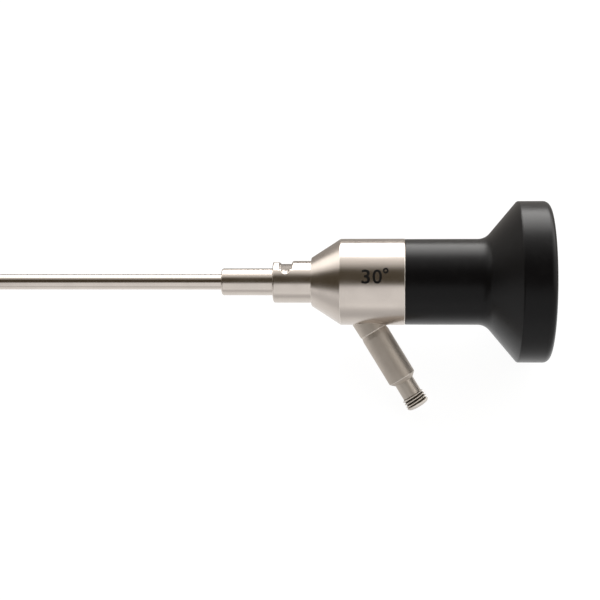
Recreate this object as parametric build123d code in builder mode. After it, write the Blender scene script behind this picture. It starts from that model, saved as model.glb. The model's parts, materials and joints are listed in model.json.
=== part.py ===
from build123d import *
from math import asin, atan, atan2, cos, hypot, radians, sin, tan
import os

# Rigid endoscope: a thin steel shaft full of rod lenses and light fibres, a steel housing with a slanted
# light post, and a black eyecup. All sizes are millimetres.
# Every piece is drawn about the X axis, with the shaft's tip towards -X, the eyecup towards +X and the
# light post pointing down, and x = 0 at the joint between housing and eyecup. The last section lays the
# whole scope on the floor the way it comes to rest.

# Shaft
shaft_radius = 1.55
shaft_wall = 0.15
working_length = 140.0
view_angle = 30.0
optics_radius = 1.1
optics_wall = 0.1
slip = 0.02

# Stations along the axis, from the shaft's tip to the eyecup
sleeve_start = -36.2
neck_start = -25.95
housing_start = -18.35
cone_end = -12.6
rim_start = 21.7
rim_end = 27.9
tip = sleeve_start - working_length

# Steel pieces at the shaft's root
sleeve_radius = 2.68
neck_radius = 4.15
ring_width = 1.45
slot_width = 2.3
slot_depth = 0.6
slot_ahead = 50.0
slot_behind = 31.0
pin_flat_height = 3.87

# Housing
housing_radius = 8.5
housing_front_radius = 4.8
cavity_radius = 7.2
spigot_radius = 7.0
spigot_length = 6.0
seal_wire = 0.5
seal_at = 3.0

# Eyecup and eyepiece
barrel_radius = 8.42
rim_radius = 15.75
cone_angle = 50.0
funnel_floor = 19.0
funnel_floor_radius = 6.9
funnel_mouth_radius = 13.4
ocular_radius = 5.5
ocular_bore = 4.4
ocular_start = -5.2

# Light post, measured along its own slanted axis from where that axis meets the scope's axis
post_angle = 58.5
post_at = -12.15
post_radius = 2.83
post_joint = 11.55
post_shoulder = 22.15
post_sleeve_end = 22.95
nipple_radius = 1.95
thread_radius = 2.33
thread_start = 26.25
thread_end = 27.95
post_end = 28.65
bundle_radius = 1.2
bundle_bore = bundle_radius + 0.1

# Rod lens train
rod_count = 6
rod_length = 22.5
first_rod = tip + 10.0
last_rod_end = -10.0
rod_gap = (last_rod_end - first_rod - rod_count * rod_length) / (rod_count - 1)
glass_radius = optics_radius - optics_wall - slip
lens_bulge = 0.12

section = Plane.XZ
post_direction = Vector(cos(radians(post_angle)), 0, -sin(radians(post_angle)))
post_foot = Vector(post_at, 0, 0)
post_section = Plane(origin=post_foot, x_dir=post_direction, z_dir=(0, -1, 0))
post_axis = Axis(post_foot, post_direction)
tip_corner = Vector(tip, 0, -shaft_radius)
bevel_normal = Vector(-cos(radians(view_angle)), 0, sin(radians(view_angle)))
bevel = Plane(origin=tip_corner, z_dir=bevel_normal)


def tube_profile(start, end, outer, inner=0.0):
    """Half section of a plain tube or rod from start to end, above the axis."""
    with Locations(((start + end) / 2, (outer + inner) / 2)):
        Rectangle(end - start, outer - inner)


def lens_profile(front, back, radius, front_bulge=0.0, back_bulge=0.0):
    """Half section of a lens: front and back are the ends of its rim, and each bulge swells outward."""
    front_pole = (front - front_bulge, 0)
    back_pole = (back + back_bulge, 0)
    with BuildLine() as outline:
        Line(front_pole, back_pole)
        if back_bulge:
            TangentArc(back_pole, (back, radius), tangent=(0, 1))
        else:
            Line(back_pole, (back, radius))
        Line((back, radius), (front, radius))
        if front_bulge:
            TangentArc(front_pole, (front, radius), tangent=(0, 1))
        else:
            Line((front, radius), front_pole)
    make_face(outline.edges())


# Outer tube: one steel tube, ground off at the view angle with its bevel facing away from the post. It keeps
# a thicker wall at its root, where it is soldered into the sleeve, the neck and the housing.
tube_root_radius = 1.75
tube_root_end = housing_start + 3.2
with BuildPart() as outer_tube:
    with BuildSketch(section):
        tube_profile(tip, sleeve_start, shaft_radius, shaft_radius - shaft_wall)
        tube_profile(sleeve_start, tube_root_end, tube_root_radius, shaft_radius - shaft_wall)
    revolve(axis=Axis.X)
    split(bisect_by=bevel, keep=Keep.BOTTOM)
outer_tube.part.label = "outer_tube"

# Optics tube: carries all the glass down the middle of the shaft and ends in the ocular tube's hub.
optics_end = ocular_start + 2.6
with BuildPart() as optics_tube:
    with BuildSketch(section):
        tube_profile(tip, optics_end, optics_radius, optics_radius - optics_wall)
    revolve(axis=Axis.X)
    split(bisect_by=bevel, keep=Keep.BOTTOM)
optics_tube.part.label = "optics_tube"

# Light fibres: a ring of glass fibre round the optics tube, ground flush with the bevel at the tip. Inside
# the housing they gather to one side, turn down the light post and end flush with its polished end.
gather_at = housing_start + 3.4
gather_offset = -1.3
gather_turn = 6.0
meets_post = Vector(post_at - gather_offset / tan(radians(post_angle)), 0, gather_offset)
with BuildPart() as fibre_bundle:
    with BuildSketch(section):
        tube_profile(tip, gather_at + slip, shaft_radius - shaft_wall - slip, optics_radius + slip)
    revolve(axis=Axis.X)
    split(bisect_by=bevel, keep=Keep.BOTTOM)
    with BuildLine() as fibre_path:
        FilletPolyline(
            (gather_at, 0, gather_offset),
            meets_post,
            post_foot + post_direction * post_end,
            radius=gather_turn,
        )
    with BuildSketch(Plane(origin=(gather_at, 0, gather_offset), z_dir=(1, 0, 0))):
        Circle(bundle_radius)
    sweep(path=fibre_path.line)
    with BuildSketch(Plane.YZ.offset(gather_at)):
        Circle(optics_radius + slip)
    extrude(amount=optics_end - gather_at, mode=Mode.SUBTRACT)
fibre_bundle.part.label = "fibre_bundle"

# Distal window: a hard glass plate closing the bevelled mouth of the optics tube.
window_thickness = 0.5
window_blank = 4.0
window_back = Plane(origin=tip_corner - bevel_normal * window_thickness, z_dir=bevel_normal)
with BuildPart() as distal_window:
    with BuildSketch(section):
        tube_profile(tip, tip + window_blank, glass_radius)
    revolve(axis=Axis.X)
    split(bisect_by=bevel, keep=Keep.BOTTOM)
    split(bisect_by=window_back, keep=Keep.TOP)
distal_window.part.label = "distal_window"

# Deflecting prism: turns the slanted view along the shaft. Its front follows the window, its back is square.
prism_front = Plane(origin=tip_corner - bevel_normal * (window_thickness + slip), z_dir=bevel_normal)
prism_end = tip + 4.4
with BuildPart() as deflecting_prism:
    with BuildSketch(section):
        tube_profile(tip, prism_end, glass_radius)
    revolve(axis=Axis.X)
    split(bisect_by=prism_front, keep=Keep.BOTTOM)
deflecting_prism.part.label = "deflecting_prism"

# Objective: two small lenses behind the prism, kept apart by two thin rings.
front_lens_start = tip + 4.9
front_lens_width = 0.7
rear_lens_start = tip + 6.6
rear_lens_width = 1.0
with BuildPart() as objective_front_lens:
    with BuildSketch(section):
        lens_profile(
            front_lens_start,
            front_lens_start + front_lens_width,
            glass_radius,
            back_bulge=2 * lens_bulge,
        )
    revolve(axis=Axis.X)
objective_front_lens.part.label = "objective_front_lens"

with BuildPart() as objective_rear_lens:
    with BuildSketch(section):
        lens_profile(
            rear_lens_start, rear_lens_start + rear_lens_width, glass_radius, lens_bulge, lens_bulge
        )
    revolve(axis=Axis.X)
objective_rear_lens.part.label = "objective_rear_lens"

spacer_bore = 0.8
spacer_gap = 0.1
with BuildPart() as objective_spacers:
    with BuildSketch(section):
        tube_profile(
            front_lens_start + front_lens_width + spacer_gap,
            rear_lens_start - spacer_gap,
            glass_radius,
            spacer_bore,
        )
        tube_profile(
            rear_lens_start + rear_lens_width + spacer_gap, first_rod - spacer_gap, glass_radius, spacer_bore
        )
    revolve(axis=Axis.X)
objective_spacers.part.label = "objective_spacers"

# Rod lenses: long glass rods with domed ends that relay the picture, with a spacer tube in each air gap.
rod_lenses = []
for number in range(rod_count):
    rod_start = first_rod + number * (rod_length + rod_gap)
    with BuildPart() as rod_lens:
        with BuildSketch(section):
            lens_profile(rod_start, rod_start + rod_length, glass_radius, lens_bulge, lens_bulge)
        revolve(axis=Axis.X)
    rod_lens.part.label = f"rod_lens_{number + 1}"
    rod_lenses.append(rod_lens)

with BuildPart() as rod_spacers:
    with BuildSketch(section):
        for number in range(1, rod_count):
            rod_start = first_rod + number * (rod_length + rod_gap)
            tube_profile(rod_start - rod_gap + spacer_gap, rod_start - spacer_gap, glass_radius, spacer_bore)
    revolve(axis=Axis.X)
rod_spacers.part.label = "rod_spacers"

# Root sleeve: a turned steel sleeve that stiffens the shaft's root, with a spigot pressed into the neck.
root_spigot_radius = 2.1
root_spigot_length = 3.0
edge_round = 0.4
with BuildPart() as root_sleeve:
    with BuildSketch(section):
        tube_profile(sleeve_start, neck_start, sleeve_radius, tube_root_radius + slip)
        tube_profile(
            neck_start, neck_start + root_spigot_length, root_spigot_radius, tube_root_radius + slip
        )
    revolve(axis=Axis.X)
    mouth = root_sleeve.faces().sort_by(Axis.X)[0]
    fillet(mouth.edges().sort_by(SortBy.LENGTH)[-1], radius=edge_round)
root_sleeve.part.label = "root_sleeve"

# Locking neck: a turned steel collar that locks a sheath by a quarter turn. The sheath's pin slides in over
# the flat on the front ring, drops into the milled slot behind it and turns along the slot towards one side,
# where a round cutter has left a run-out.
neck_spigot_radius = 2.9
neck_spigot_length = 3.2
slot_start = neck_start + ring_width
slot_end = slot_start + slot_width
slot_floor = neck_radius - slot_depth
run_out_slope = 32.5
run_out_length = 3.0
slot_ahead_end = radians(90 - slot_ahead)
run_out_start = Plane(
    origin=(
        (slot_start + slot_end) / 2,
        -slot_floor * cos(slot_ahead_end) - sin(radians(run_out_slope)) * slot_width / 2,
        slot_floor * sin(slot_ahead_end) + cos(radians(run_out_slope)) * slot_width / 2,
    ),
    z_dir=(0, -cos(radians(run_out_slope)), -sin(radians(run_out_slope))),
)


def on_slot_rim(edge):
    """Whether an edge of the neck is where the slot's walls meet the collar's outside."""
    beside_slot = slot_start - slip < edge.center().X < slot_end + slip
    return beside_slot and all(abs(hypot(end.Y, end.Z) - neck_radius) < slip for end in edge.vertices())


with BuildPart() as locking_neck:
    with BuildSketch(section):
        tube_profile(neck_start, housing_start, neck_radius, tube_root_radius + slip)
        tube_profile(
            housing_start, housing_start + neck_spigot_length, neck_spigot_radius, tube_root_radius + slip
        )
    revolve(axis=Axis.X)
    with BuildSketch(Plane.YZ.offset(neck_start)):
        Circle(root_spigot_radius + slip)
    extrude(amount=root_spigot_length + slip, mode=Mode.SUBTRACT)
    fillet(
        locking_neck.edges().filter_by(GeomType.CIRCLE).group_by(Axis.X)[0].sort_by(SortBy.LENGTH)[-1],
        radius=edge_round,
    )
    with BuildSketch(section):
        tube_profile(slot_start, slot_end, neck_radius + 1, slot_floor)
    revolve(
        axis=Axis(origin=(0, 0, 0), direction=(1, 0, 0)),
        revolution_arc=slot_ahead,
        mode=Mode.SUBTRACT,
    )
    with BuildSketch(section):
        tube_profile(slot_start, slot_end, neck_radius + 1, slot_floor)
    revolve(
        axis=Axis(origin=(0, 0, 0), direction=(-1, 0, 0)),
        revolution_arc=slot_behind,
        mode=Mode.SUBTRACT,
    )
    with BuildSketch(Plane.XY.offset(pin_flat_height)):
        with Locations((neck_start + ring_width / 2, 0)):
            Rectangle(ring_width, 2 * neck_radius)
    extrude(amount=neck_radius, mode=Mode.SUBTRACT)
    slot_rim = locking_neck.edges().filter_by(on_slot_rim)
    fillet(slot_rim, radius=edge_round)
    with BuildSketch(run_out_start):
        Circle(slot_width / 2)
    extrude(amount=run_out_length, mode=Mode.SUBTRACT)
locking_neck.part.label = "locking_neck"

# Housing: one turned steel body. A cone opens from the neck to the cylinder that carries the light post, the
# cavity inside leaves room for the fibres to turn, and a spigot with a seal groove enters the eyecup.
front_wall = 3.0
cavity_end = -2.6
cavity_cone_end = cone_end + 0.8
cavity_front_radius = neck_spigot_radius + 0.5
housing_bevel = 0.12
post_hole_radius = post_radius - 0.6
post_hole_start = 5.0
groove_width = 2.4 * seal_wire
groove_floor = spigot_radius - 2 * seal_wire
with BuildPart() as housing:
    with BuildSketch(section):
        with BuildLine():
            Polyline(
                (housing_start, neck_spigot_radius + slip),
                (housing_start, housing_front_radius),
                (cone_end, housing_radius),
                (0, housing_radius),
                (0, spigot_radius),
                (seal_at - groove_width / 2, spigot_radius),
                (seal_at - groove_width / 2, groove_floor),
                (seal_at + groove_width / 2, groove_floor),
                (seal_at + groove_width / 2, spigot_radius),
                (spigot_length, spigot_radius),
                (spigot_length, ocular_radius + slip),
                (cavity_end, ocular_radius + slip),
                (cavity_end, cavity_radius),
                (cavity_cone_end, cavity_radius),
                (housing_start + front_wall, cavity_front_radius),
                (housing_start + front_wall, neck_spigot_radius + slip),
                close=True,
            )
        make_face()
    revolve(axis=Axis.X)
    chamfer(
        housing.edges().filter_by(GeomType.CIRCLE).filter_by(
            lambda edge: abs(edge.radius - housing_radius) < slip and abs(edge.center().X) < slip
        ),
        length=housing_bevel,
    )
    with BuildSketch(post_section):
        tube_profile(post_hole_start, post_joint, post_hole_radius)
    revolve(axis=post_axis, mode=Mode.SUBTRACT)
housing.part.label = "housing"

# Seal ring in the spigot's groove: keeps water out between housing and eyecup. Its round section is drawn
# with eight flat sides, because nothing of it shows.
with BuildPart() as housing_seal:
    with BuildSketch(section):
        with Locations((seal_at, spigot_radius - seal_wire)):
            RegularPolygon(radius=seal_wire - slip, side_count=8)
    revolve(axis=Axis.X)
housing_seal.part.label = "housing_seal"

# Light post, inner piece: a short steel stub saddled on the housing and welded round, with a spigot through
# the housing's wall and a second spigot that the outer sleeve is pressed on. It widens a little towards its
# foot.
base_flare = 0.12
spigot_reach = cavity_radius - 0.4
post_joint_spigot = 2.05
post_joint_spigot_end = post_joint + 3.0
joint_bevel = 0.13
sleeve_taper = 0.9
with BuildPart() as light_post_base:
    with BuildSketch(post_section):
        with BuildLine():
            Polyline(
                (housing_radius / 2, 0),
                (housing_radius / 2, post_radius + base_flare),
                (post_joint - joint_bevel, post_radius),
                (post_joint, post_radius - joint_bevel),
                (post_joint, 0),
                close=True,
            )
        make_face()
    revolve(axis=post_axis)
    Cylinder(housing_radius, 4 * housing_radius, rotation=(0, 90, 0), mode=Mode.SUBTRACT)
    with BuildSketch(post_section):
        tube_profile(housing_radius / 2, post_joint_spigot_end, post_joint_spigot)
    revolve(axis=post_axis)
    Cylinder(spigot_reach, 4 * housing_radius, rotation=(0, 90, 0), mode=Mode.SUBTRACT)
    with BuildSketch(post_section):
        tube_profile(0, post_joint_spigot_end, bundle_bore)
    revolve(axis=post_axis, mode=Mode.SUBTRACT)
light_post_base.part.label = "light_post_base"

# Light post, outer sleeve: a turned sleeve with a bevelled shoulder. It narrows a little towards the stub,
# where a fine joint line shows.
nipple_seat = post_joint + 6.0
with BuildPart() as light_post_sleeve:
    with BuildSketch(post_section):
        with BuildLine():
            Polyline(
                (post_joint, post_joint_spigot + slip),
                (post_joint, post_radius - joint_bevel),
                (post_joint + sleeve_taper, post_radius),
                (post_shoulder, post_radius),
                (post_sleeve_end, nipple_radius + slip),
                (nipple_seat, nipple_radius + slip),
                (nipple_seat, bundle_bore),
                (post_joint_spigot_end + slip, bundle_bore),
                (post_joint_spigot_end + slip, post_joint_spigot + slip),
                close=True,
            )
        make_face()
    revolve(axis=post_axis)
light_post_sleeve.part.label = "light_post_sleeve"

# Light nipple: the end a light cable's adapter screws on. Its short thread is drawn as a plain band at the
# thread's outer size, and its end is bevelled down to the fibres.
ferrule_radius = bundle_radius + 0.14
ferrule_start = thread_start - 2.0
nipple_end = post_end - 0.05
nipple_mouth_radius = ferrule_radius + 0.12
thread_lead = 0.2
with BuildPart() as light_nipple:
    with BuildSketch(post_section):
        with BuildLine():
            Polyline(
                (nipple_seat + slip, bundle_bore),
                (nipple_seat + slip, nipple_radius),
                (thread_start, nipple_radius),
                (thread_start + thread_lead, thread_radius),
                (thread_end, thread_radius),
                (nipple_end, nipple_mouth_radius),
                (nipple_end, ferrule_radius + slip),
                (ferrule_start, ferrule_radius + slip),
                (ferrule_start, bundle_bore),
                close=True,
            )
        make_face()
    revolve(axis=post_axis)
light_nipple.part.label = "light_nipple"

# Ferrule: a thin steel tube that the fibre ends are glued into before they are polished.
with BuildPart() as fibre_ferrule:
    with BuildSketch(post_section):
        tube_profile(ferrule_start + slip, post_end, ferrule_radius, bundle_radius + slip)
    revolve(axis=post_axis)
fibre_ferrule.part.label = "fibre_ferrule"

# Ocular tube: a turned steel tube, centred in the housing, that holds the eyepiece lenses. Its hub takes the
# end of the optics tube.
hub_length = 3.0
nose_bevel = 1.5
window_seat = 16.2
with BuildPart() as ocular_tube:
    with BuildSketch(section):
        with BuildLine():
            Polyline(
                (ocular_start, optics_radius + slip),
                (ocular_start, ocular_radius - nose_bevel),
                (ocular_start + nose_bevel, ocular_radius),
                (funnel_floor - slip, ocular_radius),
                (funnel_floor - slip, ocular_bore),
                (ocular_start + hub_length, ocular_bore),
                (ocular_start + hub_length, optics_radius + slip),
                close=True,
            )
        make_face()
    revolve(axis=Axis.X)
ocular_tube.part.label = "ocular_tube"

# Field stop: a thin blackened disc that gives the picture its round edge, with a small notch that tells the
# surgeon which way the view slants.
stop_at = ocular_start + hub_length + slip
stop_thickness = 0.3
stop_hole = 1.5
stop_notch = 0.35
inner_radius = ocular_bore - slip
with BuildPart() as field_stop:
    with BuildSketch(section):
        tube_profile(stop_at, stop_at + stop_thickness, inner_radius, stop_hole)
    revolve(axis=Axis.X)
    with BuildSketch(Plane.YZ.offset(stop_at)):
        with Locations((0, stop_hole)):
            RegularPolygon(radius=stop_notch, side_count=3, rotation=90)
    extrude(amount=stop_thickness, mode=Mode.SUBTRACT)
field_stop.part.label = "field_stop"

# Eyepiece lenses: two pieces of glass cemented into one lens, set between a spacer tube and a screw ring.
ocular_spacer_end = 9.5
flint_end = 11.0
crown_end = 13.2
cement_bulge = 0.5
ocular_aperture = 3.7
with BuildPart() as ocular_spacer:
    with BuildSketch(section):
        tube_profile(
            stop_at + stop_thickness + slip, ocular_spacer_end - slip, inner_radius, ocular_aperture
        )
    revolve(axis=Axis.X)
ocular_spacer.part.label = "ocular_spacer"

with BuildPart() as ocular_crown_lens:
    with BuildSketch(section):
        lens_profile(flint_end + slip, crown_end, inner_radius, cement_bulge, cement_bulge)
    revolve(axis=Axis.X)
ocular_crown_lens.part.label = "ocular_crown_lens"

with BuildPart() as ocular_flint_lens:
    with BuildSketch(section):
        tube_profile(ocular_spacer_end, flint_end, inner_radius)
    revolve(axis=Axis.X)
    with BuildSketch(section):
        lens_profile(flint_end, flint_end + 1, inner_radius, cement_bulge)
    revolve(axis=Axis.X, mode=Mode.SUBTRACT)
ocular_flint_lens.part.label = "ocular_flint_lens"

ring_start = crown_end + cement_bulge / 2
ring_end = ring_start + 1.6
spanner_slot = 0.8
with BuildPart() as ocular_ring:
    with BuildSketch(section):
        tube_profile(ring_start, ring_end, inner_radius, ocular_aperture)
    revolve(axis=Axis.X)
    with BuildSketch(Plane.YZ.offset(ring_end - spanner_slot)):
        Rectangle(2 * inner_radius, spanner_slot)
    extrude(amount=spanner_slot, mode=Mode.SUBTRACT)
ocular_ring.part.label = "ocular_ring"

# Window ring: a flanged steel ring screwed into the ocular tube. Its flange clamps the eyecup against the
# housing, and the eye window is soldered into its rear face.
flange_radius = 6.6
flange_end = funnel_floor + 1.1
eye_window_radius = 3.8
eye_window_front = funnel_floor - 0.6
window_ledge_radius = eye_window_radius - 0.5
flange_bevel = 0.3
solder_bevel = 0.4
with BuildPart() as window_ring:
    with BuildSketch(section):
        with BuildLine():
            Polyline(
                (window_seat, window_ledge_radius),
                (window_seat, inner_radius),
                (funnel_floor, inner_radius),
                (funnel_floor, flange_radius),
                (flange_end - flange_bevel, flange_radius),
                (flange_end, flange_radius - flange_bevel),
                (flange_end, eye_window_radius + solder_bevel),
                (flange_end - solder_bevel, eye_window_radius + slip),
                (eye_window_front, eye_window_radius + slip),
                (eye_window_front, window_ledge_radius),
                close=True,
            )
        make_face()
    revolve(axis=Axis.X)
window_ring.part.label = "window_ring"

with BuildPart() as eye_window:
    with BuildSketch(section):
        tube_profile(eye_window_front + slip, flange_end - solder_bevel - slip, eye_window_radius)
    revolve(axis=Axis.X)
eye_window.part.label = "eye_window"

# Eyecup: one black moulded piece. A plain barrel sweeps through a soft fillet into a steep cone and a thick
# round rim that a camera clamps on, and a funnel inside the rim leads the eye to the window.
cone_foot = rim_start - (rim_radius - barrel_radius) / tan(radians(cone_angle))
barrel_fillet = 3.0
rim_round = 1.3
lip_bevel = 0.15
mouth_bevel = 0.4
seam_bevel = 0.1
with BuildPart() as eyecup:
    with BuildSketch(section) as eyecup_section:
        with BuildLine():
            Polyline(
                (0, spigot_radius + slip),
                (0, barrel_radius - seam_bevel),
                (seam_bevel, barrel_radius),
                (cone_foot, barrel_radius),
                (rim_start, rim_radius),
                (rim_end, rim_radius),
                (rim_end, funnel_mouth_radius),
                (funnel_floor, funnel_floor_radius),
                (funnel_floor, ocular_radius + slip),
                (spigot_length + slip, ocular_radius + slip),
                (spigot_length + slip, spigot_radius + slip),
                close=True,
            )
        make_face()
        barrel_corner = eyecup_section.vertices().sort_by_distance((cone_foot, barrel_radius))[0]
        fillet(barrel_corner, radius=barrel_fillet)
        rim_corner = eyecup_section.vertices().sort_by_distance((rim_end, rim_radius))[0]
        fillet(rim_corner, radius=rim_round)
        lip_corner = eyecup_section.vertices().sort_by_distance((rim_start, rim_radius))[0]
        chamfer(lip_corner, length=lip_bevel)
        mouth_corner = eyecup_section.vertices().sort_by_distance((rim_end, funnel_mouth_radius))[0]
        chamfer(mouth_corner, length=mouth_bevel)
    revolve(axis=Axis.X)
eyecup.part.label = "eyecup"

# Lying on the floor: the scope touches with the bottom of its tip and the front corner of the rim, which
# tilts its axis, and it rolls about that axis until the light post's thread touches too.
rim_contact = rim_start + lip_bevel
tilt = atan((rim_radius - shaft_radius) / (rim_contact - tip))
post_foot_height = shaft_radius * cos(tilt) + (post_at - tip) * sin(tilt)
post_dip = asin(post_foot_height / hypot(thread_end, thread_radius)) - atan2(thread_radius, thread_end)
roll = asin(
    (sin(post_dip) + cos(radians(post_angle)) * sin(tilt)) / (sin(radians(post_angle)) * cos(tilt))
)
lying = Plane(
    origin=(0, 0, 0),
    x_dir=(cos(tilt), 0, sin(tilt)),
    z_dir=(-sin(roll) * sin(tilt), cos(roll), sin(roll) * cos(tilt)),
).location

pieces = [
    outer_tube,
    optics_tube,
    fibre_bundle,
    distal_window,
    deflecting_prism,
    objective_front_lens,
    objective_rear_lens,
    objective_spacers,
    *rod_lenses,
    rod_spacers,
    root_sleeve,
    locking_neck,
    housing,
    housing_seal,
    light_post_base,
    light_post_sleeve,
    light_nipple,
    fibre_ferrule,
    ocular_tube,
    field_stop,
    ocular_spacer,
    ocular_flint_lens,
    ocular_crown_lens,
    ocular_ring,
    window_ring,
    eye_window,
    eyecup,
]
for piece in pieces:
    piece.part.move(lying)

# The origin is on the floor, in the middle of the box that the lying scope fills.
box = Compound([piece.part for piece in pieces]).bounding_box()
to_origin = Location((-box.center().X, -box.center().Y, -box.min.Z))

os.makedirs("parts", exist_ok=True)
for piece in pieces:
    piece.part.move(to_origin)
    export_step(piece.part, f"parts/{piece.part.label}.step")
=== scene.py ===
import json
import math

import bmesh
import bpy
from mathutils import Matrix, Vector


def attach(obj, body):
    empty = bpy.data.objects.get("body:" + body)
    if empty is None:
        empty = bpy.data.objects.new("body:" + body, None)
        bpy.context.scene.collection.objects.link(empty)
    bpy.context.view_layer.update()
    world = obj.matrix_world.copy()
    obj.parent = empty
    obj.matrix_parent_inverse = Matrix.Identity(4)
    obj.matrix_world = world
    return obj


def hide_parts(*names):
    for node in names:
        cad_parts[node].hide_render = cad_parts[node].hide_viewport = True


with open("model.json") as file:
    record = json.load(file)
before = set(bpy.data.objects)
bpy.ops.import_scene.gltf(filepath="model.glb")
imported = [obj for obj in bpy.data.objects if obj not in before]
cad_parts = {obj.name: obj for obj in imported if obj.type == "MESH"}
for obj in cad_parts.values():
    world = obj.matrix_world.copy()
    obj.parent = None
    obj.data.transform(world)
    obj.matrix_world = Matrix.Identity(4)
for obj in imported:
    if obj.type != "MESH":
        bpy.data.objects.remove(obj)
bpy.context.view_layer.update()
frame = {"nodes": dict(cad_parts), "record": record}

# The scope lies tilted and rolled on the floor. Its own frame runs along the shaft towards the eyecup, with
# the light post pointing down, and starts at the joint between the housing and the eyecup. Its unit is the
# millimetre. The camera looks at the housing squarely from the side.
mounts = {mount["name"]: mount for mount in frame["record"]["mounts"]}
rim_middle = 24.225
along = Vector(mounts["eyepiece_rim"]["axis"])
post_way = Vector(mounts["light_post"]["axis"])
off_post = (along * along.dot(post_way) - post_way).normalized()
across = off_post.cross(along)
joint = Vector(mounts["eyepiece_rim"]["pos_m"]) - along * rim_middle / 1000


def frame_at(start, first, second, third):
    """A frame in millimetres whose three axes are given as world directions."""
    turn = Matrix((first, second, third)).transposed().to_4x4()
    return Matrix.Translation(start) @ turn @ Matrix.Scale(0.001, 4)


scope_frame = frame_at(joint, along, across, off_post)

lens_to_axis = 244.5
faces_station = -2.94
yaw = math.radians(4.158)
pitch = math.radians(0.838)
focal_length = 74.28
sensor_width = 36
near_limit = 0.01
camera = bpy.data.objects.new("camera", bpy.data.cameras.new("camera"))
bpy.context.scene.collection.objects.link(camera)
camera.data.lens = focal_length
camera.data.sensor_width = sensor_width
camera.data.clip_start = near_limit
aim = along * -math.sin(yaw) + across * math.cos(yaw)
looks = aim * math.cos(pitch) - off_post * math.sin(pitch)
right = along * math.cos(yaw) + across * math.sin(yaw)
stand = frame_at(scope_frame @ Vector((faces_station, -lens_to_axis, 0)), right, right.cross(looks), -looks)
camera.matrix_world = stand @ Matrix.Scale(1000, 4)
bpy.context.scene.camera = camera
bpy.context.scene.view_settings.view_transform = "Standard"


# The studio: a white table in front, a long softbox overhead, a pale card off to the eyecup's end and a
# dark, brownish room round the horizon, which polished steel shows as a dark band. The camera sees only
# white.
class Wire:
    """An output socket that Python arithmetic works on. Each operator adds its Math node."""

    def __init__(self, nodes, socket):
        self.nodes = nodes
        self.socket = socket

    def math(self, operation, *values):
        return self.nodes.node("ShaderNodeMath", {"operation": operation}, dict(enumerate(values)))

    def __add__(self, other):
        return self.math("ADD", self, other)

    def __radd__(self, other):
        return self.math("ADD", other, self)

    def __sub__(self, other):
        return self.math("SUBTRACT", self, other)

    def __rsub__(self, other):
        return self.math("SUBTRACT", other, self)

    def __mul__(self, other):
        return self.math("MULTIPLY", self, other)

    def __rmul__(self, other):
        return self.math("MULTIPLY", other, self)

    def __truediv__(self, other):
        return self.math("DIVIDE", self, other)

    def __rtruediv__(self, other):
        return self.math("DIVIDE", other, self)

    def __pow__(self, other):
        return self.math("POWER", self, other)

    def __abs__(self):
        return self.math("ABSOLUTE", self)

    def rise(self, start, end, low=0.0, high=1.0):
        """Goes smoothly from low at start to high at end, and stays level outside them."""
        return self.nodes.node(
            "ShaderNodeMapRange",
            {"interpolation_type": "SMOOTHSTEP"},
            {"Value": self, "From Min": start, "From Max": end, "To Min": low, "To Max": high},
        )


class Nodes:
    """The node tree of a material or of the world."""

    def __init__(self, owner):
        owner.use_nodes = True
        self.tree = owner.node_tree
        self.tree.nodes.clear()

    def node(self, kind, settings=None, inputs=None, output=0):
        """Adds one node: its type, its settings, then the values or links of its sockets."""
        made = self.tree.nodes.new(kind)
        for name, value in (settings or {}).items():
            setattr(made, name, value)
        for name, value in (inputs or {}).items():
            if isinstance(value, Wire):
                self.tree.links.new(value.socket, made.inputs[name])
            else:
                made.inputs[name].default_value = value
        return Wire(self, made.outputs[output]) if len(made.outputs) else None

    def parts(self, vector):
        """The three numbers of a vector."""
        return [self.node("ShaderNodeSeparateXYZ", None, {"Vector": vector}, output=axis) for axis in "XYZ"]

    def toward(self, vector, axis):
        """How far a vector points along an axis."""
        return self.node(
            "ShaderNodeVectorMath", {"operation": "DOT_PRODUCT"}, {0: vector, 1: axis}, output="Value"
        )

    def mix(self, factor, first, second):
        """One colour going over into another."""
        colours = {"Factor": factor, 6: first, 7: second}
        return self.node("ShaderNodeMix", {"data_type": "RGBA"}, colours, output=2)

    def light_path(self, *kinds):
        """1 for the named kinds of ray, 0 for the others."""
        rays = [self.node("ShaderNodeLightPath", output=f"Is {kind} Ray") for kind in kinds]
        seen = rays[0]
        for ray in rays[1:]:
            seen = seen.math("MAXIMUM", seen, ray)
        return seen


world = bpy.data.worlds.new("studio")
bpy.context.scene.world = world
nodes = Nodes(world)
way = nodes.node("ShaderNodeTexCoord", output="Generated")
eyewards = nodes.toward(way, along)
endways = abs(eyewards)
behind = nodes.toward(way, across)
above = nodes.toward(way, off_post)

# How far a direction leans along the scope, and behind it, for each unit that it rises.
least_rise = 0.02
slant = endways / above.math("MAXIMUM", abs(above), least_rise)
lean = behind / above.math("MAXIMUM", above, least_rise)

dark_front = (0.075, 0.06, 0.038, 1)
grey_back = (0.34, 0.31, 0.28, 1)
white_table = (1.0, 1.0, 1.0, 1)
far_table = 0.7
shaft_side_loss = 0.7
room = nodes.mix(behind.rise(-0.2, 0.6), dark_front, grey_back)
table = (0 - above).rise(endways * 0.1 + 0.05, endways * 0.25 + 0.25) * slant.rise(2.0, 3.0, 1.0, far_table)
shaft_side = eyewards.rise(-0.6, -0.25, shaft_side_loss, 0.0) * behind.rise(-0.6, -0.3, 1.0, 0.0)
room = nodes.mix(table * (1 - shaft_side), room, white_table)

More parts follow.
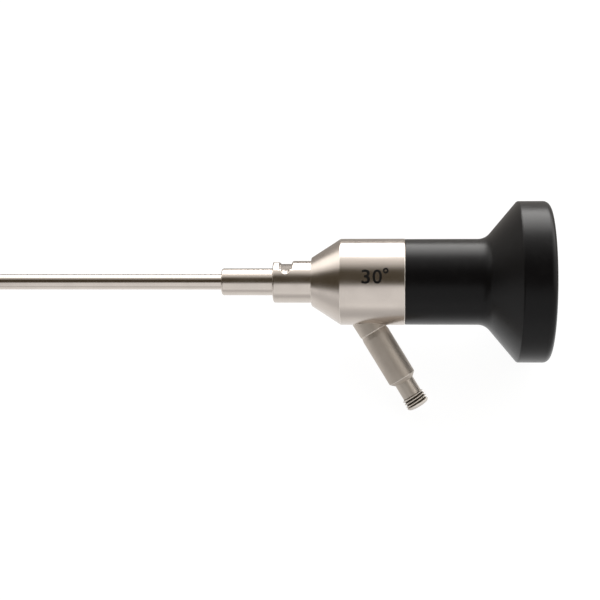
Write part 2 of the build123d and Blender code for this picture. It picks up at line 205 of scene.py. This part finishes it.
# The softbox has a bright core within a wide, even halo, and its core is dimmer towards the scope's ends.
softbox_tint = (1, 0.99, 0.975, 1)
halo_strength = 1.05
core_strength = 5.6
core_end_share = 0.15
card_strength = 1.1
halo = lean.rise(-1.7, -0.3, 0.0, halo_strength) * lean.rise(0.15, 0.7, 1.0, 0.0)
halo = halo * slant.rise(1.8, 2.6, 1.0, 0.0)
core = lean.rise(-0.42, -0.02, 0.0, core_strength) * lean.rise(0.55, 0.8, 1.0, 0.0)
core = core * slant.rise(0.15, 0.8, 1.0, core_end_share) * slant.rise(1.4, 2.2, 1.0, 0.0)
side_card = eyewards.rise(0.35, 0.65, 0.0, card_strength) * above.rise(-0.4, 0.0)
side_card = side_card * behind.rise(0.5, 0.95, 1.0, 0.0)
strength = (halo + core) * above.rise(0.0, 0.06) + side_card
surroundings = nodes.node("ShaderNodeBackground", None, {"Color": room})
lamps = nodes.node("ShaderNodeBackground", None, {"Color": softbox_tint, "Strength": strength})
lit = nodes.node("ShaderNodeAddShader", None, {0: surroundings, 1: lamps})
white = nodes.node("ShaderNodeBackground", None, {"Color": (1, 1, 1, 1)})
seen = nodes.light_path("Camera", "Transmission")
shown = nodes.node("ShaderNodeMixShader", None, {"Fac": seen, 1: lit, 2: white})
nodes.node("ShaderNodeOutputWorld", None, {"Surface": shown})

# Table top: a wide white board, which keeps the scope's soft shadow. Steel shows it white in front of the
# scope; in reflections only, the board is painted a little greyer beside the scope and a warm grey behind it,
# as painted shade. The distances are in millimetres.
floor_half = 3.0
floor_white = (0.8, 0.8, 0.8, 1)
warm_white = (1, 0.88, 0.76, 1)
glow_strength = 1.1
glow_share = 0.85
beside_loss = 0.4
behind_loss = 0.75
floor = bpy.data.objects.new("floor", bpy.data.meshes.new("floor"))
bpy.context.scene.collection.objects.link(floor)
corners = [(x * floor_half, y * floor_half, 0) for x, y in ((-1, -1), (1, -1), (1, 1), (-1, 1))]
floor.data.from_pydata(corners, [], [(0, 1, 2, 3)])
material = bpy.data.materials.new("white_floor")
floor.data.materials.append(material)
nodes = Nodes(material)
place = nodes.parts(nodes.node("ShaderNodeTexCoord", output="Object"))[1]
ahead = (joint.y - place) * 1000
# Painted shade in reflections: the board's glow, as glossy rays see it, is dimmed beside and behind the
# scope.
painted_shade_beside = ahead.rise(12, 27, 0.0, beside_loss) * ahead.rise(27, 110, 1.0, 0.0)
painted_shade_behind = ahead.rise(-16, 0, behind_loss, 0.0)
glossy = nodes.light_path("Glossy")
tint = nodes.mix(glossy * painted_shade_behind, (1, 1, 1, 1), warm_white)
tint = nodes.mix(glossy * (painted_shade_beside + painted_shade_behind), tint, (0, 0, 0, 1))
paint = nodes.node("ShaderNodeBsdfDiffuse", None, {"Color": floor_white})
glow = nodes.node("ShaderNodeEmission", None, {"Color": tint, "Strength": glow_strength})
seen = nodes.light_path("Camera", "Glossy", "Transmission")
shown = nodes.node("ShaderNodeMixShader", None, {"Fac": seen * glow_share, 1: paint, 2: glow})
nodes.node("ShaderNodeOutputMaterial", None, {"Surface": shown})


# Shaft: a drawn stainless tube with a fine polish, soldered into the root sleeve. Its bevelled mouth is
# ground flush with the light fibres and the window inside it.
bevel_samples = 6
edge_starts = 0.002
edge_full = 0.04


class Finish(Nodes):
    """A material whose pattern is laid out in millimetres in a frame of the piece's own."""

    def __init__(self, name, own_frame):
        self.material = bpy.data.materials.new(name)
        super().__init__(self.material)
        placed = own_frame.inverted()
        self.spot = self.node(
            "ShaderNodeMapping",
            {"vector_type": "POINT"},
            {
                "Vector": self.node("ShaderNodeTexCoord", output="Object"),
                "Location": placed.to_translation(),
                "Rotation": placed.to_euler(),
                "Scale": placed.to_scale(),
            },
        )
        self.x, self.y, self.z = self.parts(self.spot)
        self.radius = (self.y * self.y + self.z * self.z) ** 0.5

    def noise(self, scale, detail=2.0):
        return self.node("ShaderNodeTexNoise", None, {"Vector": self.spot, "Scale": scale, "Detail": detail})

    def turning(self, scale):
        """Fine grooves left by turning: rings round the piece's own X axis, on its sides and on its faces."""
        travel = self.x + self.radius + self.noise(0.35, 1.0) * 0.12
        return self.node(
            "ShaderNodeTexNoise", {"noise_dimensions": "1D"}, {"W": travel, "Scale": scale, "Detail": 3.0}
        )

    def softened(self, size):
        """The surface's direction with its corners rounded off."""
        return self.node("ShaderNodeBevel", {"samples": bevel_samples}, {"Radius": size / 1000})

    def corners(self, size):
        """1 along the piece's corners, where handling polishes it and where a lighter colour is painted on as
        a highlight, and 0 on its plain surfaces.
        """
        plain = self.node("ShaderNodeNewGeometry", output="Normal")
        return (1 - self.toward(self.softened(size), plain)).rise(edge_starts, edge_full)

    def surface(self, settings, height=None, depth=0.0, edge=0.0):
        """The piece's one shader. Height raises the surface by up to depth, and edge is the size of its
        softened corners, both in millimetres."""
        inputs = dict(settings)
        if height is not None:
            relief = {"Height": height, "Distance": depth / 1000, "Strength": 1.0}
            if edge:
                relief["Normal"] = self.softened(edge)
            inputs["Normal"] = self.node("ShaderNodeBump", None, relief)
        shader = self.node("ShaderNodeBsdfPrincipled", None, inputs)
        self.node("ShaderNodeOutputMaterial", None, {"Surface": shader})
        return self.material


def finished(material, *names):
    """Gives CAD pieces a material in place of their plain ones."""
    for name in names:
        piece = frame["nodes"][name]
        piece.data.materials.clear()
        piece.data.materials.append(material)


dark_share = 0.9
# Share of the tone left where a cutter's matte floor is painted dark as shade.
slot_shade_share = 0.22
# Corners are polished by wear, and are also painted this lighter tone as a highlight.
painted_edge_highlight_tone = (0.92, 0.87, 0.8)
worn_polish = 0.4
cut_roughness = 0.3
fine_roughness = 0.04


def steel(finish, tone, roughness, groove_scale, groove_depth, edge, matte_and_shade=0.0):
    """Turned stainless steel: a slightly warm grey, with rings of fine grooves, faint handling smudges and
    corners polished by wear, whose colour is also painted lighter as a highlight. Where a cutter has left it
    matte it is rougher, and its colour is darkened there as painted shade."""
    grooves = finish.turning(groove_scale)
    smudge = finish.noise(0.22, 3.0).rise(0.35, 0.7)
    wear_and_sheen = finish.corners(edge)
    dark = tuple(dark_share * part for part in tone)
    slot_shade = tuple(slot_shade_share * part for part in tone)
    gloss_loss = (smudge + grooves) * fine_roughness + matte_and_shade * cut_roughness
    colour = finish.mix(smudge * 0.4 + grooves * 0.6, (*tone, 1), (*dark, 1))
    colour = finish.mix(matte_and_shade, colour, (*slot_shade, 1))
    return finish.surface(
        {
            "Metallic": 1.0,
            "Base Color": finish.mix(wear_and_sheen, colour, (*painted_edge_highlight_tone, 1)),
            "Roughness": (1 - wear_and_sheen * worn_polish) * roughness + gloss_loss,
        },
        grooves,
        groove_depth,
        edge,
    )


shaft_tone = (0.62, 0.56, 0.51)
shaft_steel = steel(Finish("shaft_steel", scope_frame), shaft_tone, 0.14, 5.0, 0.0006, 0.05)
finished(shaft_steel, "outer_tube", "optics_tube", "fibre_ferrule")


# Root sleeve, locking neck and housing: turned stainless pieces, pressed and soldered together, with a satin
# finish that keeps the rings of the turning tool.
satin_tone = (0.615, 0.555, 0.505)
satin_steel = steel(Finish("satin_steel", scope_frame), satin_tone, 0.2, 6.0, 0.002, 0.12)
finished(satin_steel, "root_sleeve", "housing", "ocular_tube", "window_ring")

# Locking neck: a turned collar with a slot milled into it for a sheath's lock. The cutter leaves the slot's
# floor matte, and the walls above it as bright as the collar.
# The floor's colour is also painted dark, as painted shade in the slot.
matte_radius = 3.6
bright_radius = 3.72
slot_start = -24.5
finish = Finish("neck_steel", scope_frame)
# The slot's floor: rougher, and its colour painted dark as shade.
in_slot = finish.radius.rise(matte_radius, bright_radius, 1.0, 0.0)
in_slot = in_slot * finish.x.rise(slot_start - 0.1, slot_start + 0.1)
neck_steel = steel(finish, satin_tone, 0.2, 6.0, 0.0012, 0.1, in_slot)
finished(neck_steel, "locking_neck")

# View angle on the housing: black, marked into the steel by laser, with a small ring for the degrees. Each
# glyph has its left edge, foot, width, height and how much thicker its strokes are.
housing_radius = 8.5
mark_foot = -0.35
mark_stand = 0.008
cut_step = 0.2
glyphs = (
    ("3", -8.35, mark_foot, 1.60, 2.74, 0.012),
    ("0", -6.26, mark_foot, 1.78, 2.74, 0.012),
    ("°", -4.29, 1.60, 1.08, 1.14, 0.02),
)
shape = bmesh.new()
for glyph, left, foot, width, height, stroke_gain in glyphs:
    text = bpy.data.curves.new("view_angle_text", "FONT")
    text.body = glyph
    text.offset = stroke_gain
    text.resolution_u = 6
    text_object = bpy.data.objects.new("view_angle_text", text)
    bpy.context.scene.collection.objects.link(text_object)
    written = bmesh.new()
    written.from_mesh(text_object.to_mesh())
    bpy.data.objects.remove(text_object)
    lows = [min(corner.co[axis] for corner in written.verts) for axis in range(2)]
    highs = [max(corner.co[axis] for corner in written.verts) for axis in range(2)]
    for corner in written.verts:
        corner.co.x = left + width * (corner.co.x - lows[0]) / (highs[0] - lows[0])
        corner.co.y = foot + height * (corner.co.y - lows[1]) / (highs[1] - lows[1])
    for step in range(math.ceil(height / cut_step)):
        bmesh.ops.bisect_plane(
            written,
            geom=written.verts[:] + written.edges[:] + written.faces[:],
            plane_co=(0, foot + step * cut_step, 0),
            plane_no=(0, 1, 0),
        )
    flat = bpy.data.meshes.new("view_angle_glyph")
    written.to_mesh(flat)
    written.free()
    shape.from_mesh(flat)
    bpy.data.meshes.remove(flat)
    bpy.data.curves.remove(text)
mark_radius = housing_radius + mark_stand
for corner in shape.verts:
    bend = corner.co.y / housing_radius
    wrapped = Vector((corner.co.x, -mark_radius * math.cos(bend), mark_radius * math.sin(bend)))
    corner.co = scope_frame @ wrapped
bmesh.ops.recalc_face_normals(shape, faces=shape.faces)
marking = bpy.data.objects.new("view_angle", bpy.data.meshes.new("view_angle"))
bpy.context.scene.collection.objects.link(marking)
shape.to_mesh(marking.data)
shape.free()
finish = Finish("laser_black", scope_frame)
burnt = finish.mix(finish.noise(9.0), (0.003, 0.0025, 0.0025, 1), (0.009, 0.008, 0.007, 1))
laser_black = finish.surface({"Base Color": burnt, "Roughness": 0.6, "Specular IOR Level": 0.15})
marking.data.materials.append(laser_black)
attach(marking, "root")


# Light post: a welded stub, a pressed-on sleeve and a screwed nipple, all turned from stainless steel and
# blasted to a soft sheen so that they don't dazzle. The fibre ends are polished flush with the nipple.
post_station = -12.15
post_foot = scope_frame @ Vector((post_station, 0, 0))
post_frame = frame_at(post_foot, post_way, across, post_way.cross(across))
post_tone = (0.58, 0.52, 0.46)
post_steel = steel(Finish("post_steel", post_frame), post_tone, 0.5, 7.0, 0.001, 0.14)
finished(post_steel, "light_post_base", "light_post_sleeve")

# Light nipple: turned from one piece of steel and screwed into the sleeve. Its short thread takes a light
# cable's adapter, and its round nose leads the adapter on. Stations are measured from the post's foot.
nipple_start = 17.6
nipple_radius = 1.95
thread_start = 26.0
thread_end = 27.85
nipple_end = 28.6
crest_radius = 2.33
thread_pitch = 0.6
run_in_share = 1 / 3
mouth_radius = 1.47
bore_radius = 1.36
sides = 144
thread_steps = 80
nose_steps = 10
sharp_corner = math.radians(40)


def thread_radius(station, turned):
    """The thread's height at a station and a part of a turn: a wave that runs round the nipple."""
    wave = 0.5 + 0.5 * math.cos(2 * math.pi * ((station - thread_start) / thread_pitch - turned))
    run_in = min(1.0, (station - thread_start) / (thread_pitch * run_in_share))
    return nipple_radius + (crest_radius - nipple_radius) * run_in * wave


def nose_radius(station):
    """The round nose from the thread's crests in to the mouth."""
    share = (station - thread_end) / (nipple_end - thread_end)
    return mouth_radius + (crest_radius - mouth_radius) * math.sqrt(max(0.0, 1 - share**2))


thread_length = thread_end - thread_start
nose_length = nipple_end - thread_end
outline = [
    [(station, nipple_radius)] * sides
    for station in (nipple_start, 24.0, thread_start - 0.3, thread_start - 0.02)
]
for step in range(thread_steps + 1):
    station = thread_start + thread_length * step / thread_steps
    outline.append([(station, thread_radius(station, side / sides)) for side in range(sides)])
for step in range(1, nose_steps + 1):
    station = thread_end + nose_length * math.sin(math.pi / 2 * step / nose_steps)
    outline.append([(station, nose_radius(station))] * sides)
outline += [[(nipple_end, bore_radius)] * sides, [(nipple_start, bore_radius)] * sides]
shape = bmesh.new()
loops = []
for ring in outline:
    loop = []
    for side, (station, radius) in enumerate(ring):
        turned = 2 * math.pi * side / sides
        spot = Vector((station, radius * math.cos(turned), radius * math.sin(turned)))
        loop.append(shape.verts.new(post_frame @ spot))
    loops.append(loop)
for first, second in zip(loops, loops[1:] + loops[:1]):
    for side in range(sides):
        after = (side + 1) % sides
        shape.faces.new((first[side], second[side], second[after], first[after]))
bmesh.ops.recalc_face_normals(shape, faces=shape.faces)
for face in shape.faces:
    face.smooth = True
for line in shape.edges:
    line.smooth = line.calc_face_angle(0.0) < sharp_corner
nipple = bpy.data.objects.new("threaded_nipple", bpy.data.meshes.new("threaded_nipple"))
bpy.context.scene.collection.objects.link(nipple)
shape.to_mesh(nipple.data)
shape.free()
# Painted light on the thread: its crests are painted a lighter steel as a highlight, and its valleys near
# black as shade.
valley_floor = 2.04
valley_top = 2.2
painted_crest_highlight = (0.8, 0.75, 0.69, 1)
painted_valley_shade = (0.1, 0.085, 0.065, 1)
finish = Finish("nipple_steel", post_frame)
colour = finish.mix(finish.noise(0.6, 3.0), (0.6, 0.54, 0.48, 1), (0.55, 0.5, 0.44, 1))
threaded = finish.x.rise(thread_start, thread_start + 0.1)
valley_shade = finish.radius.rise(valley_floor, valley_top, 1.0, 0.0) * threaded
valley_shade = valley_shade * finish.x.rise(thread_end - 0.1, thread_end + 0.1, 1.0, 0.0)
nipple_steel = finish.surface(
    {
        "Metallic": 1.0,
        "Base Color": finish.mix(valley_shade, finish.mix(threaded, colour, painted_crest_highlight), painted_valley_shade),
        "Roughness": finish.noise(2.0, 2.0) * 0.06 + 0.42,
    }
)
nipple.data.materials.append(nipple_steel)
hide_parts("light_nipple")
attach(nipple, "root")

# Light fibres: thousands of glass hairs glued side by side, in a ring at the tip and a disc at the nipple.
# Their polished ends look like fine grain.
finish = Finish("fibre_ends", scope_frame)
hairs = finish.node("ShaderNodeTexVoronoi", {"feature": "F1"}, {"Vector": finish.spot, "Scale": 18.0})
fibre_ends = finish.surface(
    {
        "Base Color": finish.mix(hairs.rise(0.1, 0.6), (0.86, 0.82, 0.68, 1), (0.32, 0.27, 0.17, 1)),
        "Roughness": 0.18,
        "Coat Weight": 0.6,
    },
    1 - hairs,
    0.002,
)
finished(fibre_ends, "fibre_bundle")


# Eyecup: one piece moulded from black plastic that stands steam cleaning, with a soft satin surface. It is
# pushed over the ocular tube against the housing, with a rubber ring as its seal.
finish = Finish("eyecup_black", scope_frame)
grain = finish.noise(14.0, 3.0)
wear = finish.noise(0.5, 3.0).rise(0.45, 0.75)
eyecup_black = finish.surface(
    {
        "Base Color": finish.mix(wear * 0.5, (0.0042, 0.0039, 0.0043, 1), (0.006, 0.0056, 0.006, 1)),
        "Roughness": 0.27 + grain * 0.06 + wear * 0.03,
        "Specular Tint": (0.28, 0.28, 0.28, 1),
    },
    grain,
    0.003,
    0.15,
)
finished(eyecup_black, "eyecup")
finish = Finish("seal_rubber", scope_frame)
seal_rubber = finish.surface(
    {
        "Base Color": finish.mix(finish.noise(3.0), (0.02, 0.02, 0.02, 1), (0.035, 0.034, 0.033, 1)),
        "Roughness": 0.7,
    }
)
finished(seal_rubber, "housing_seal")


# Eyepiece and lens train: ground and coated glass, held at its distances by blackened spacer tubes. It is
# seen through the window at each end.
finish = Finish("blackened_spacer", scope_frame)
blackened = finish.surface(
    {
        "Base Color": finish.mix(finish.turning(6.0), (0.012, 0.012, 0.013, 1), (0.03, 0.03, 0.032, 1)),
        "Metallic": 0.6,
        "Roughness": 0.55,
    }
)
finished(blackened, "objective_spacers", "rod_spacers", "field_stop", "ocular_spacer", "ocular_ring")
finish = Finish("coated_glass", scope_frame)
coated_glass = finish.surface(
    {
        "Base Color": (0.97, 0.99, 1.0, 1),
        "Roughness": finish.noise(0.8, 2.0) * 0.03,
        "Transmission Weight": 1.0,
        "IOR": 1.5,
        "Specular Tint": (0.62, 0.55, 0.9, 1),
    }
)
glass_pieces = ["distal_window", "deflecting_prism", "objective_front_lens", "objective_rear_lens"]
glass_pieces += [f"rod_lens_{number}" for number in range(1, 7)]
glass_pieces += ["ocular_flint_lens", "ocular_crown_lens", "eye_window"]
finished(coated_glass, *glass_pieces)
